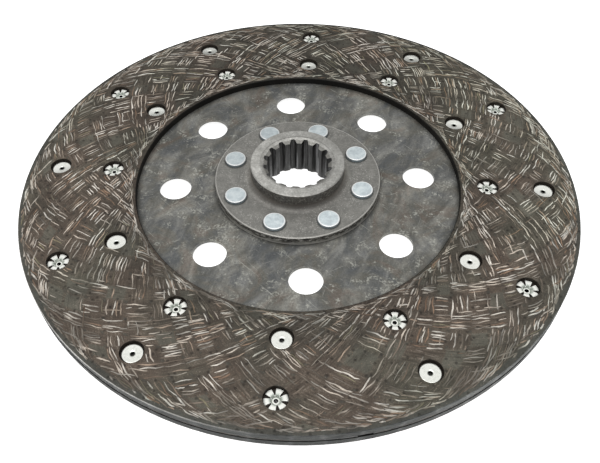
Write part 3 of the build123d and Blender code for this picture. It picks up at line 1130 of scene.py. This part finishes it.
@dataclass(frozen=True)
class ForgedHubFinish(Finish):
    """Forged steel hub, part machined.

    The blasted flange is matt and warm grey with sparkling grit marks. Its rim is sheared: dark
    and torn below the top edge, and burnished lower down. The collar's side stays dark from the
    forge, its end is turned bright, and the broached splines are oily and nearly black.
    """

    label: str = "forged_hub"
    metallic: float = 0.55
    roughness: float = 0.46
    coarse: Noise = Noise(0.22, 4.0, 0.6)
    grain: Noise = Noise(0.95, 5.0, 0.72)
    grit_scale: float = 1.0
    patches: Noise = Noise(0.1, 4.0, distortion=0.8)
    wander: Noise = Noise(1.0, 4.0, 0.6)
    wanders: float = 6.0
    tears: Noise = Noise(1.0, 5.0, 0.72)
    tear_turns: float = 16.0
    tear_rise: float = 0.9
    sheens: Noise = Noise(0.5, 4.0, 0.65)
    sheen_stretch: tuple[float, float, float] = (1.0, 1.0, 0.08)
    flange_radius: float = 42.2
    flange_face: float = 5.9
    flange_back: float = 0.9
    collar_radius: float = 23.8
    collar_face: float = 15.4
    fillet_top: float = 9.4
    mouth_radius: float = 18.4
    painted_light_turn: float = 200.0
    rivet_count: int = 8
    first_rivet: float = 67.5
    rivet_circle: float = 34.2
    rivet_radius: float = 5.4
    painted_rivet_shadow: str = "302F2D"
    blasted: Stops = ((0.36, "767571"), (0.5, "868580"), (0.66, "9A9893"))
    sparkle: str = "C8C7C1"
    turned: Stops = ((0.32, "898883"), (0.5, "ABAAA5"), (0.7, "DAD9D4"))
    forge: Stops = ((0.36, "4C4A47"), (0.54, "696661"), (0.7, "A9A69F"))
    painted_fillet_shade: str = "8C867F"
    torn: Stops = ((0.4, "3A3836"), (0.52, "65635E"), (0.66, "DEDCD6"))
    burnished: Stops = ((0.35, "85837E"), (0.6, "B4B2AC"))
    lip: str = "CFCDC7"
    foot: Stops = ((1.15, "C9C7C1"), (0.4, "1E1D1B"))
    oily: Stops = ((0.4, "262625"), (0.54, "434342"), (0.7, "848485"))

    def paint(self, graph: Graph) -> dict[str, object]:
        """Paint the hub: its flat faces, its walls from the rim to the bore, then wear and dirt.

        Args:
            graph: the material's graph.

        Returns:
            What feeds the shader's inputs, by name.
        """
        add, lay, shade = graph.add, graph.lay, graph.shade
        place = graph.place()
        coarse = add("TexNoise", place.point, *self.coarse)
        grain = add("TexNoise", place.point, *self.grain)
        cells = add("TexVoronoi", place.point, self.grit_scale)
        patch = add("TexNoise", place.point, *self.patches)
        grit = graph.product((cells, 0.12, 0.34, 1.0, 0.0), (patch, 0.44, 0.6, 0.12, 0.8))
        mixed = add("Math.MULTIPLY", coarse, 0.45)
        mixed = add("Math.MULTIPLY_ADD", grain, 0.55, mixed)

        # Flat faces: blasted flange, and the collar's turned end with painted light on one side
        turned = add("ValToRGB", mixed, stops=self.turned)
        turned = shade(turned, (graph.facing_side(place, self.painted_light_turn), -0.4, 1.0, 0.92, 1.2))
        high = add("Math.GREATER_THAN", place.height, self.collar_face - 0.7)
        face = lay(add("ValToRGB", mixed, stops=self.blasted), turned, high)
        face = lay(face, self.sparkle, grit)

        # Collar side and fillet, by height: the fillet counts as side up to where it lies flat
        side = add("ValToRGB", grain, stops=self.forge)
        # Low on the collar's side lies painted fillet shade
        limits = (self.fillet_top - 1.0, self.fillet_top + 0.8, 0.8, 0.0)
        side = lay(side, self.painted_fillet_shade, (place.height, *limits))

        # Sheared rim: the torn zone hangs below the top edge, by an uneven depth. The tears run
        # round the rim, 2.6 mm long and 1.1 mm high.
        around = add("CombineXYZ", graph.product(place.turn, self.wanders), 0.0)
        wander = add("TexNoise", around, *self.wander)
        top = self.flange_face
        edge = add("MapRange", wander, 0.35, 0.65, top - 3.9, top - 1.9)
        above = add("Math.SUBTRACT", place.height, edge)
        across = graph.product(place.turn, self.tear_turns)
        tears = add("CombineXYZ", across, graph.product(place.height, self.tear_rise))
        tears = add("TexNoise", tears, *self.tears)
        torn = add("ValToRGB", tears, stops=self.torn)
        smooth = add("ValToRGB", coarse, stops=self.burnished)
        rim = lay(smooth, torn, (above, -0.25, 0.25))
        # A painted highlight lies along the bottom corner, and a painted shadow in the joint below
        # it
        for reach, colour in self.foot:
            reach += self.flange_back
            rim = lay(rim, colour, (place.height, reach - 0.2, reach, 0.8, 0.0))

        # Splined bore: oily walls with grey sheens that run along the bore
        lengthwise = add("Mapping", place.point, Scale=self.sheen_stretch)
        sheen = add("TexNoise", lengthwise, *self.sheens)
        bore = add("ValToRGB", sheen, stops=self.oily)
        mouth, corner = self.mouth_radius, self.flange_radius
        wall = lay(side, rim, (place.radius, corner - 0.6, corner - 0.4))
        wall = lay(wall, bore, (place.radius, mouth - 0.5, mouth - 0.3, 1.0, 0.0))
        facing = add("SeparateXYZ", add("NewGeometry").outputs["True Normal"])
        steepness = add("Math.ABSOLUTE", facing.outputs["Z"])
        colour = lay(wall, face, (steepness, 0.3, 0.45))

        # Painted shade lies in the fillet round the collar; painted light and shade change it by
        # side, following the sine of the turn
        collar = self.collar_radius
        low_down = add("Math.LESS_THAN", place.height, self.fillet_top)
        out_of_bore = add("Math.GREATER_THAN", place.radius, collar - 1.0)
        limits = (collar - 0.2, collar + 4.2, 0.4, 0.0)
        scale = add("MapRange", place.radius, *limits, interpolation_type="SMOOTHSTEP")
        colour = lay(colour, self.painted_fillet_shade, scale, low_down, out_of_bore)
        sine = add("Math.SINE", place.turn)
        painted_fillet_light = add("MapRange", sine, -1.0, 0.0, 0.6, 1.5)
        limits = (collar + 2.2, collar + 3.8, 1.0, 0.0)
        in_fillet = graph.product((place.radius, *limits), low_down, out_of_bore)
        colour = shade(colour, add("Mix", in_fillet, 1.0, painted_fillet_light, data_type="FLOAT"))

        # A painted contact shadow lies in the corner round each rivet head
        away = graph.off_holes(place, self.rivet_count, self.first_rivet, self.rivet_circle)
        limits = (self.rivet_radius, self.rivet_radius + 0.9, 0.75, 0.0)
        colour = lay(colour, self.painted_rivet_shadow, (away, *limits), low_down)
        # A painted highlight runs round the flange's top corner
        at_corner = add("Math.GREATER_THAN", place.radius, corner - 0.55)
        colour = lay(colour, self.lip, (place.height, top - 0.42, top - 0.25, 0.0, 0.85), at_corner)
        # A faint ring is turned where the bore's mouth meets the collar's end
        off_ring = graph.off_centre(place.radius, mouth + 0.35)
        ring = add("MapRange", off_ring, 0.1, 0.45, 0.72, 1.0)
        colour = shade(colour, add("Mix", high, 1.0, ring, data_type="FLOAT"))
        height = add("Math.MULTIPLY_ADD", grit, 0.5, grain)
        limits = (0.35, 0.65, self.roughness + 0.12, self.roughness - 0.08)
        return {
            "Base_Color": colour,
            "Roughness": add("MapRange", grain, *limits),
            "Normal": add("Bump", Height=height, Strength=0.5, Distance=0.08 * MM),
        }


@dataclass(frozen=True)
class ZincFinish(Finish):
    """Zinc-plated rivet heads: bluish white, cloudy in the middle, a painted highlight at the rim.
    """

    label: str = "zinc_plated_rivet"
    metallic: float = 0.45
    roughness: float = 0.36
    cloudy: Noise = Noise(0.35, 5.0, 0.62)
    count: int = 8
    first_angle: float = 67.5
    circle_radius: float = 34.2
    head_radius: float = 5.4
    wall_top: float = 7.2
    clouds: Stops = ((0.38, "BFC9CD"), (0.5, "CDD8DB"), (0.62, "DBE4E6"))
    painted_highlight: str = "FBFCFB"
    wall: str = "93A0A7"
    painted_head_shade_turn: float = -0.54
    painted_head_shade_share: float = 0.12

    def paint(self, graph: Graph) -> dict[str, object]:
        """Paint the heads: clouds, painted highlights on the rims and painted shade on the walls.

        Args:
            graph: the material's graph.

        Returns:
            What feeds the shader's inputs, by name.
        """
        add = graph.add
        place = graph.place()
        cloud = add("TexNoise", place.point, *self.cloudy)
        # A painted highlight lies round the rim of each head
        away = graph.off_holes(place, self.count, self.first_angle, self.circle_radius)
        limits = (self.head_radius - 0.8, self.head_radius - 0.45, 0.0, 0.9)
        colour = add("ValToRGB", cloud, stops=self.clouds)
        colour = graph.lay(colour, self.painted_highlight, (away, *limits))
        # The front of each head's upright wall is darker, as painted shade
        level = add("Math.ABSOLUTE", place.height)
        limits = (self.wall_top - 0.15, self.wall_top + 0.15, 1.0, 0.0)
        front = add("Math.GREATER_THAN", place.height, 0.0)
        colour = graph.lay(colour, self.wall, (level, *limits), front)
        # Painted shade darkens the heads on one side of the hub: 1 less a share of the turned sine
        turned = add("Math.ADD", place.turn, self.painted_head_shade_turn)
        turned = add("Math.SINE", turned)
        painted_head_shade = add("Math.MULTIPLY_ADD", turned, -self.painted_head_shade_share, 1.0)
        return {
            "Base_Color": graph.shade(colour, painted_head_shade),
            "Normal": add("Bump", Height=cloud, Strength=0.4, Distance=0.06 * MM),
        }


@dataclass(frozen=True)
class BrightRivetFinish(Finish):
    """Bright tinned rivet tube: nearly white where flat, greenish grey in the cup, black inside.

    Two shares come with the mesh. Painted depth shade goes from 0 on the open faces to 1 in the
    vent, and makes the cup greenish grey and the inside black. Pressed is 1 on the flat head,
    which the die left as smooth as a mirror, and 0 on the torn petals.
    """

    label: str = "bright_tubular_rivet"
    metallic: float = 0.12
    roughness: float = 0.3
    pressed_metallic: float = 0.75
    pressed_roughness: float = 0.17
    cloudy: Noise = Noise(0.9, 4.0, 0.65)
    grime: Stops = ((0.04, "F6F7F0"), (0.35, "B9C0B6"), (0.62, "6E726B"), (0.85, "080807"))

    def paint(self, graph: Graph) -> dict[str, object]:
        """Paint the rivet by its two shares.

        Args:
            graph: the material's graph.

        Returns:
            What feeds the shader's inputs, by name.
        """
        add = graph.add
        grime, pressed = (
            add("Attribute", attribute_name=name).outputs["Fac"] for name in ("grime", "pressed")
        )
        cloud = add("TexNoise", graph.point(), *self.cloudy)
        uneven = add("Math.SUBTRACT", cloud, 0.5)
        share = add("Math.MULTIPLY_ADD", uneven, 0.5, grime)
        # In the vent the painted shade is black metal as dull as can be, so it mirrors nothing
        painted_black = add("MapRange", share, 0.6, 0.8)
        metal = add("MapRange", pressed, 0.0, 1.0, self.metallic, self.pressed_metallic)
        return {
            "Base_Color": add("ValToRGB", share, stops=self.grime),
            "Metallic": add("Math.MAXIMUM", metal, painted_black),
            "Roughness": add("MapRange", pressed, 0.0, 1.0, self.roughness, self.pressed_roughness),
            "Normal": add("Bump", Height=cloud, Strength=0.35, Distance=0.05 * MM),
        }


# ---------------------------------------------------------------- rivets


@dataclass(frozen=True)
class LiningRivet:
    """A tubular rivet: a flat head at one end, and a tube rolled out into petals at the other.

    It is worked out about its own axis in millimetres, with heights from the middle of the
    disc, positive towards the petals.
    """

    node: str
    centre: tuple[float, float]
    petal_side: int
    first_petal: float
    seed: int
    seat: float = 2.1
    petals: int = 6
    tip_radius: float = 5.2
    shoulder_radius: float = 3.0
    crest_radius: float = 4.35
    crest_height: float = 1.0
    tip_height: float = 0.6
    gap_root_radius: float = 2.25
    gap_root_width: float = 0.5
    gap_rim_width: float = 1.95
    gap_softness: float = 14.0
    least_opening: float = 0.02
    wall_powers: tuple[float, float] = (2.6, 0.7)
    petal_spread: float = 0.09
    petal_crown: float = 0.08
    rounding: float = 0.07
    cup_radius: float = 1.7
    cup_depth: float = 0.55
    tube_radius: float = 2.5
    vent_radius: float = 0.9
    head_radius: float = 4.65
    head_thickness: float = 0.95

    def angles(self) -> tuple[np.ndarray, np.ndarray]:
        """Space the columns round the rivet, close together along the petals' edges.

        Returns:
            Each column's angle from the first petal's middle, and its angle from the nearest
            gap, both in degrees.
        """
        half = 180 / self.petals
        steps = (0, 3.5, 5.7, 6.6, 7.6, 8.8, 10, 11.2, 12.6, 14.5, 17, 20.5, 25, 30)
        from_gap = np.array(steps) * half / steps[-1]
        sector = np.concatenate([half - from_gap[::-1], half + from_gap[1:-1]])
        away = np.concatenate([from_gap[::-1], from_gap[1:-1]])
        starts = np.arange(self.petals)[:, None] * 2 * half
        return (starts + sector).ravel(), np.tile(away, self.petals)

    def flower(self, from_gap: np.ndarray) -> np.ndarray:
        """Give the flower's outer radius by the angle from the nearest gap.

        A gap widens evenly from its root to the rim, so its straight edge is at radius
        c / (k - sin angle), with k its widening and c = k root radius - half root width. The
        radius is the soft minimum of that edge and the tips' circle, and never less than the
        root's.
        """
        depth = self.tip_radius - self.gap_root_radius
        widening = (self.gap_rim_width - self.gap_root_width) / 2 / depth
        c = widening * self.gap_root_radius - self.gap_root_width / 2
        opening = np.maximum(widening - np.sin(np.radians(from_gap)), self.least_opening)
        soft = (c / opening) ** -self.gap_softness + self.tip_radius**-self.gap_softness
        soft **= -1 / self.gap_softness
        return np.maximum(soft, self.gap_root_radius)

    def crest(self, radius: np.ndarray) -> np.ndarray:
        """Give the petals' height above the seat at a radius.

        The wall climbs from the cup floor as a superellipse that is upright at the floor and
        level at the shoulder. The crest stays level, and falls to the tips as a parabola.
        """
        climb = np.clip((radius - self.cup_radius) / (self.shoulder_radius - self.cup_radius), 0, 1)
        total, (upright, level) = self.crest_height + self.cup_depth, self.wall_powers
        wall = -self.cup_depth + total * (1 - (1 - climb) ** upright) ** level
        fall = np.clip((radius - self.crest_radius) / (self.tip_radius - self.crest_radius), 0, 1)
        return wall - (self.crest_height - self.tip_height) * fall**2

    def grid(self) -> tuple[np.ndarray, np.ndarray, np.ndarray]:
        """Work out the rivet's surface, rows along its section by columns round it.

        Returns:
            Each point's angle in degrees, its (radius, height), and its painted depth shade.
        """
        rng = np.random.default_rng(self.seed)
        angle, from_gap = self.angles()
        reach = self.flower(from_gap)
        columns = len(angle)
        pitch = 360 / self.petals
        petal = np.floor((angle + pitch / 2) / pitch).astype(int) % self.petals
        lift = rng.uniform(-self.petal_spread, self.petal_spread, self.petals)[petal]
        # Each petal is a little arched, from 9 degrees off its gaps to 18
        crown = self.petal_crown * np.clip((from_gap - 9) / 9, 0, 1)
        floor = -self.cup_depth

        # Each row is a radius, a height and its painted depth shade, first from the vent over the
        # funnel and the petals to the tube, and then from the tube round the flat head to its vent
        rows: list[tuple[np.ndarray | float, np.ndarray | float, float]] = [
            (self.vent_radius, floor - 0.35, 1.0),
            (self.vent_radius, floor + 0.2, 1.0),
            (0.96, floor + 0.28, 0.75),
            (1.02, floor + 0.31, 0.1),
            (1.25, floor + 0.34, 0.0),
            (1.45, floor + 0.27, 0.05),
            (1.6, floor + 0.1, 0.3),
        ]
        for share, grime in (
            (0.0, 0.5), (0.05, 0.46), (0.12, 0.42), (0.22, 0.34), (0.34, 0.18), (0.48, 0.02),
            (0.62, 0.0), (0.76, 0.0), (0.88, 0.0), (0.95, 0.0),
        ):
            radius = self.cup_radius + (reach - self.cup_radius) * share
            height = self.crest(radius) + lift * share**2 + crown * np.sin(np.pi * share)
            rows.append((radius, height - self.rounding * share**10, grime))
        edge = self.crest(reach) + lift
        rows += [
            (reach, edge - 0.16, 0.05),
            (reach, np.maximum(edge - 0.34, 0.03), 0.3),
            (reach * 0.8 + 2.6 * 0.2, np.maximum(edge - 0.4, 0.02), 0.6),
            (self.tube_radius, 0.0, 0.8),
        ]
        rows = [(radius, self.seat + height, grime) for radius, height, grime in rows]
        face = -self.seat - self.head_thickness
        rows += [
            (self.tube_radius, -self.seat, 0.8),
            (self.head_radius - 0.1, -self.seat, 0.5),
            (self.head_radius, -self.seat - 0.12, 0.3),
            (self.head_radius, face + 0.22, 0.1),
            (self.head_radius - 0.07, face + 0.07, 0.0),
            (self.head_radius - 0.24, face, 0.0),
            (self.head_radius - 0.6, face + 0.01, 0.0),
            (self.head_radius - 1.0, face + 0.05, 0.06),
            (2.1, face + 0.06, 0.06),
            (1.7, face + 0.08, 0.06),
            (1.4, face + 0.12, 0.08),
            (1.15, face + 0.2, 0.14),
            (1.0, face + 0.32, 0.3),
            (0.94, face + 0.4, 1.0),
            (self.vent_radius, face + 0.55, 1.0),
            (self.vent_radius, face + 1.3, 1.0),
        ]
        section = np.array([[np.broadcast_to(value, columns) for value in row] for row in rows])
        return angle, section[:, :2].transpose(0, 2, 1), section[:, 2]

    def build(self, material: bpy.types.Material) -> None:
        """Make the rivet's mesh and let it stand for its node.

        Args:
            material: the rivets' finish.
        """
        angle, section, grime = self.grid()
        rows, columns = grime.shape
        turn = np.radians(angle + self.first_petal)
        radius, height = section[..., 0], section[..., 1]
        x = self.centre[0] + radius * np.cos(turn)
        y = self.centre[1] + radius * np.sin(turn)
        points = np.stack([x, y, height * self.petal_side], axis=-1)
        row, column = np.meshgrid(np.arange(rows), np.arange(columns), indexing="ij")
        here, down = row * columns, (row + 1) % rows * columns
        after = (column + 1) % columns
        corners = [here + column, down + column, down + after, here + after]
        faces = np.stack(corners[:: self.petal_side], axis=-1).reshape(-1, 4)
        name = self.node.replace("lining_rivet", "formed_rivet")
        piece = make_piece(name, points, faces.tolist(), material)
        for share, values in (("grime", grime), ("pressed", height < 0)):
            held = piece.data.attributes.new(share, "FLOAT", "POINT")
            held.data.foreach_set("value", values.ravel().astype(np.float32))
        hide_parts(self.node)


@dataclass(frozen=True)
class Rivets:
    """All the rivets: formed ones through the linings, and plated ones through the flange."""

    circle_split: float = 110.0
    outer_turn: float = -15.0
    inner_turn: float = 30.0

    def build(self) -> None:
        """Form each lining rivet where its node is, and plate the hub's rivets."""
        bright, zinc = BrightRivetFinish().material(), ZincFinish().material()
        for seed, name in enumerate(sorted(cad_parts)):
            if name.startswith("hub_rivet_"):
                dress(name, zinc)
            elif name.startswith("lining_rivet_"):
                low, high = (np.array(corner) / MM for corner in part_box(name))
                x, y = ((low + high) / 2)[:2].tolist()
                turn = self.outer_turn if np.hypot(x, y) > self.circle_split else self.inner_turn
                first_petal = float(np.degrees(np.arctan2(y, x)) + turn)
                # The petals stand higher than the head is thick, so the box shows their side
                petal_side = 1 if high[2] > -low[2] else -1
                LiningRivet(name, (x, y), petal_side, first_petal, seed).build(bright)


# ---------------------------------------------------------------- studio


@dataclass(frozen=True)
class TableFinish(Finish):
    """Lit white acrylic: it glows evenly, so the table shows no edge and few shadows."""

    label: str = "lit_white_acrylic"
    roughness: float = 0.9
    specular: float = 0.0
    body: str = "E6E6E6"
    glow: float = 0.85

    def paint(self, graph: Graph) -> dict[str, object]:
        """Give the table its body colour and its glow."""
        light = {"Emission_Color": WHITE, "Emission_Strength": self.glow}
        return {"Base_Color": linear(self.body), **light}


@dataclass(frozen=True)
class Studio:
    """A lit white table, a wide softbox overhead and in front, dim walls and a bright ceiling.

    The room itself shows plain white, so the table has no horizon.
    """

    floor_level: float = -6.62
    floor_size: float = 6.0
    box_place: tuple[float, float, float] = (-0.15, -0.35, 1.0)
    box_size: float = 1.2
    box_power: float = 6.6
    ceiling: float = 0.88
    walls: float = 0.12
    ceiling_edge: tuple[float, float] = (0.52, 0.68)

    def build(self) -> None:
        """Make the table, the softbox and the room."""
        scene, half = bpy.context.scene, self.floor_size / 2
        mesh = bpy.data.meshes.new("pale_table")
        corners = [(-half, -half), (half, -half), (half, half), (-half, half)]
        mesh.from_pydata([(x, y, self.floor_level * MM) for x, y in corners], [], [(0, 1, 2, 3)])
        mesh.materials.append(TableFinish().material())
        table = bpy.data.objects.new("pale_table", mesh)
        scene.collection.objects.link(table)
        table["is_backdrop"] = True

        softbox = bpy.data.lights.new("softbox", "AREA")
        softbox.shape = "SQUARE"
        softbox.size = self.box_size
        softbox.energy = self.box_power
        light = bpy.data.objects.new("softbox", softbox)
        light.location = self.box_place
        light.rotation_euler = (-Vector(self.box_place)).to_track_quat("-Z", "Y").to_euler()
        scene.collection.objects.link(light)

        scene.world = bpy.data.worlds.new("pale_room")
        scene.world.use_nodes = True
        room = Graph(scene.world.node_tree)
        axes = room.add("SeparateXYZ", room.add("TexCoord").outputs["Generated"]).outputs
        # The walls are dim and the ceiling bright, with a soft step between them
        limits = (*self.ceiling_edge, self.walls, self.ceiling)
        lit = room.add("MapRange", axes["Z"], *limits, interpolation_type="SMOOTHSTEP")
        seen = room.add("LightPath").outputs["Is Camera Ray"]
        strength = room.add("Mix", seen, lit, 1.0, data_type="FLOAT")
        room.feed(room.tree.nodes["Background"], WHITE, strength)
        scene.view_settings.view_transform = "Standard"
        log.info("studio: table, softbox and room")


@dataclass(frozen=True)
class Camera:
    """The view: where the camera stands, where it looks and how it is framed."""

    place: tuple[float, float, float] = (-15.48, -249.45, 253.17)
    forward: tuple[float, float, float] = (0.02370, 0.63771, -0.76994)
    roll_degrees: float = -1.032
    sensor: float = 36.0
    lens: float = 40.97
    shift: tuple[float, float] = (0.0223, 0.0193)
    nearest: float = 0.01

    def build(self) -> None:
        """Make the camera and let the scene use it."""
        data = bpy.data.cameras.new("camera")
        data.sensor_width = self.sensor
        data.lens = self.lens
        data.shift_x, data.shift_y = self.shift
        data.clip_start = self.nearest
        forward = Vector(self.forward).normalized()
        right = forward.cross(Vector((0, 0, 1))).normalized()
        up = right.cross(forward)
        roll = np.radians(self.roll_degrees)
        across = right * np.cos(roll) + up * np.sin(roll)
        upward = up * np.cos(roll) - right * np.sin(roll)
        turn = Matrix((across, upward, -forward)).transposed().to_4x4()
        camera = bpy.data.objects.new("camera", data)
        camera.matrix_world = Matrix.Translation(Vector(self.place) * MM) @ turn
        bpy.context.scene.collection.objects.link(camera)
        bpy.context.scene.camera = camera
        log.info("camera: %.1f mm lens", self.lens)


# ---------------------------------------------------------------- whole part


def main() -> None:
    """Build every piece in order."""
    logging.basicConfig(level=logging.INFO, format="%(name)s: %(message)s")
    Camera().build()
    Studio().build()
    Linings().build()
    dress("carrier_disc", RolledSheetFinish().material())
    dress("hub", ForgedHubFinish().material())
    Rivets().build()
    boxes = {"cad": cad_box, "visual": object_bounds()}
    plain = {key: [list(corner) for corner in box] for key, box in boxes.items()}


if __name__ == "__main__":
    main()
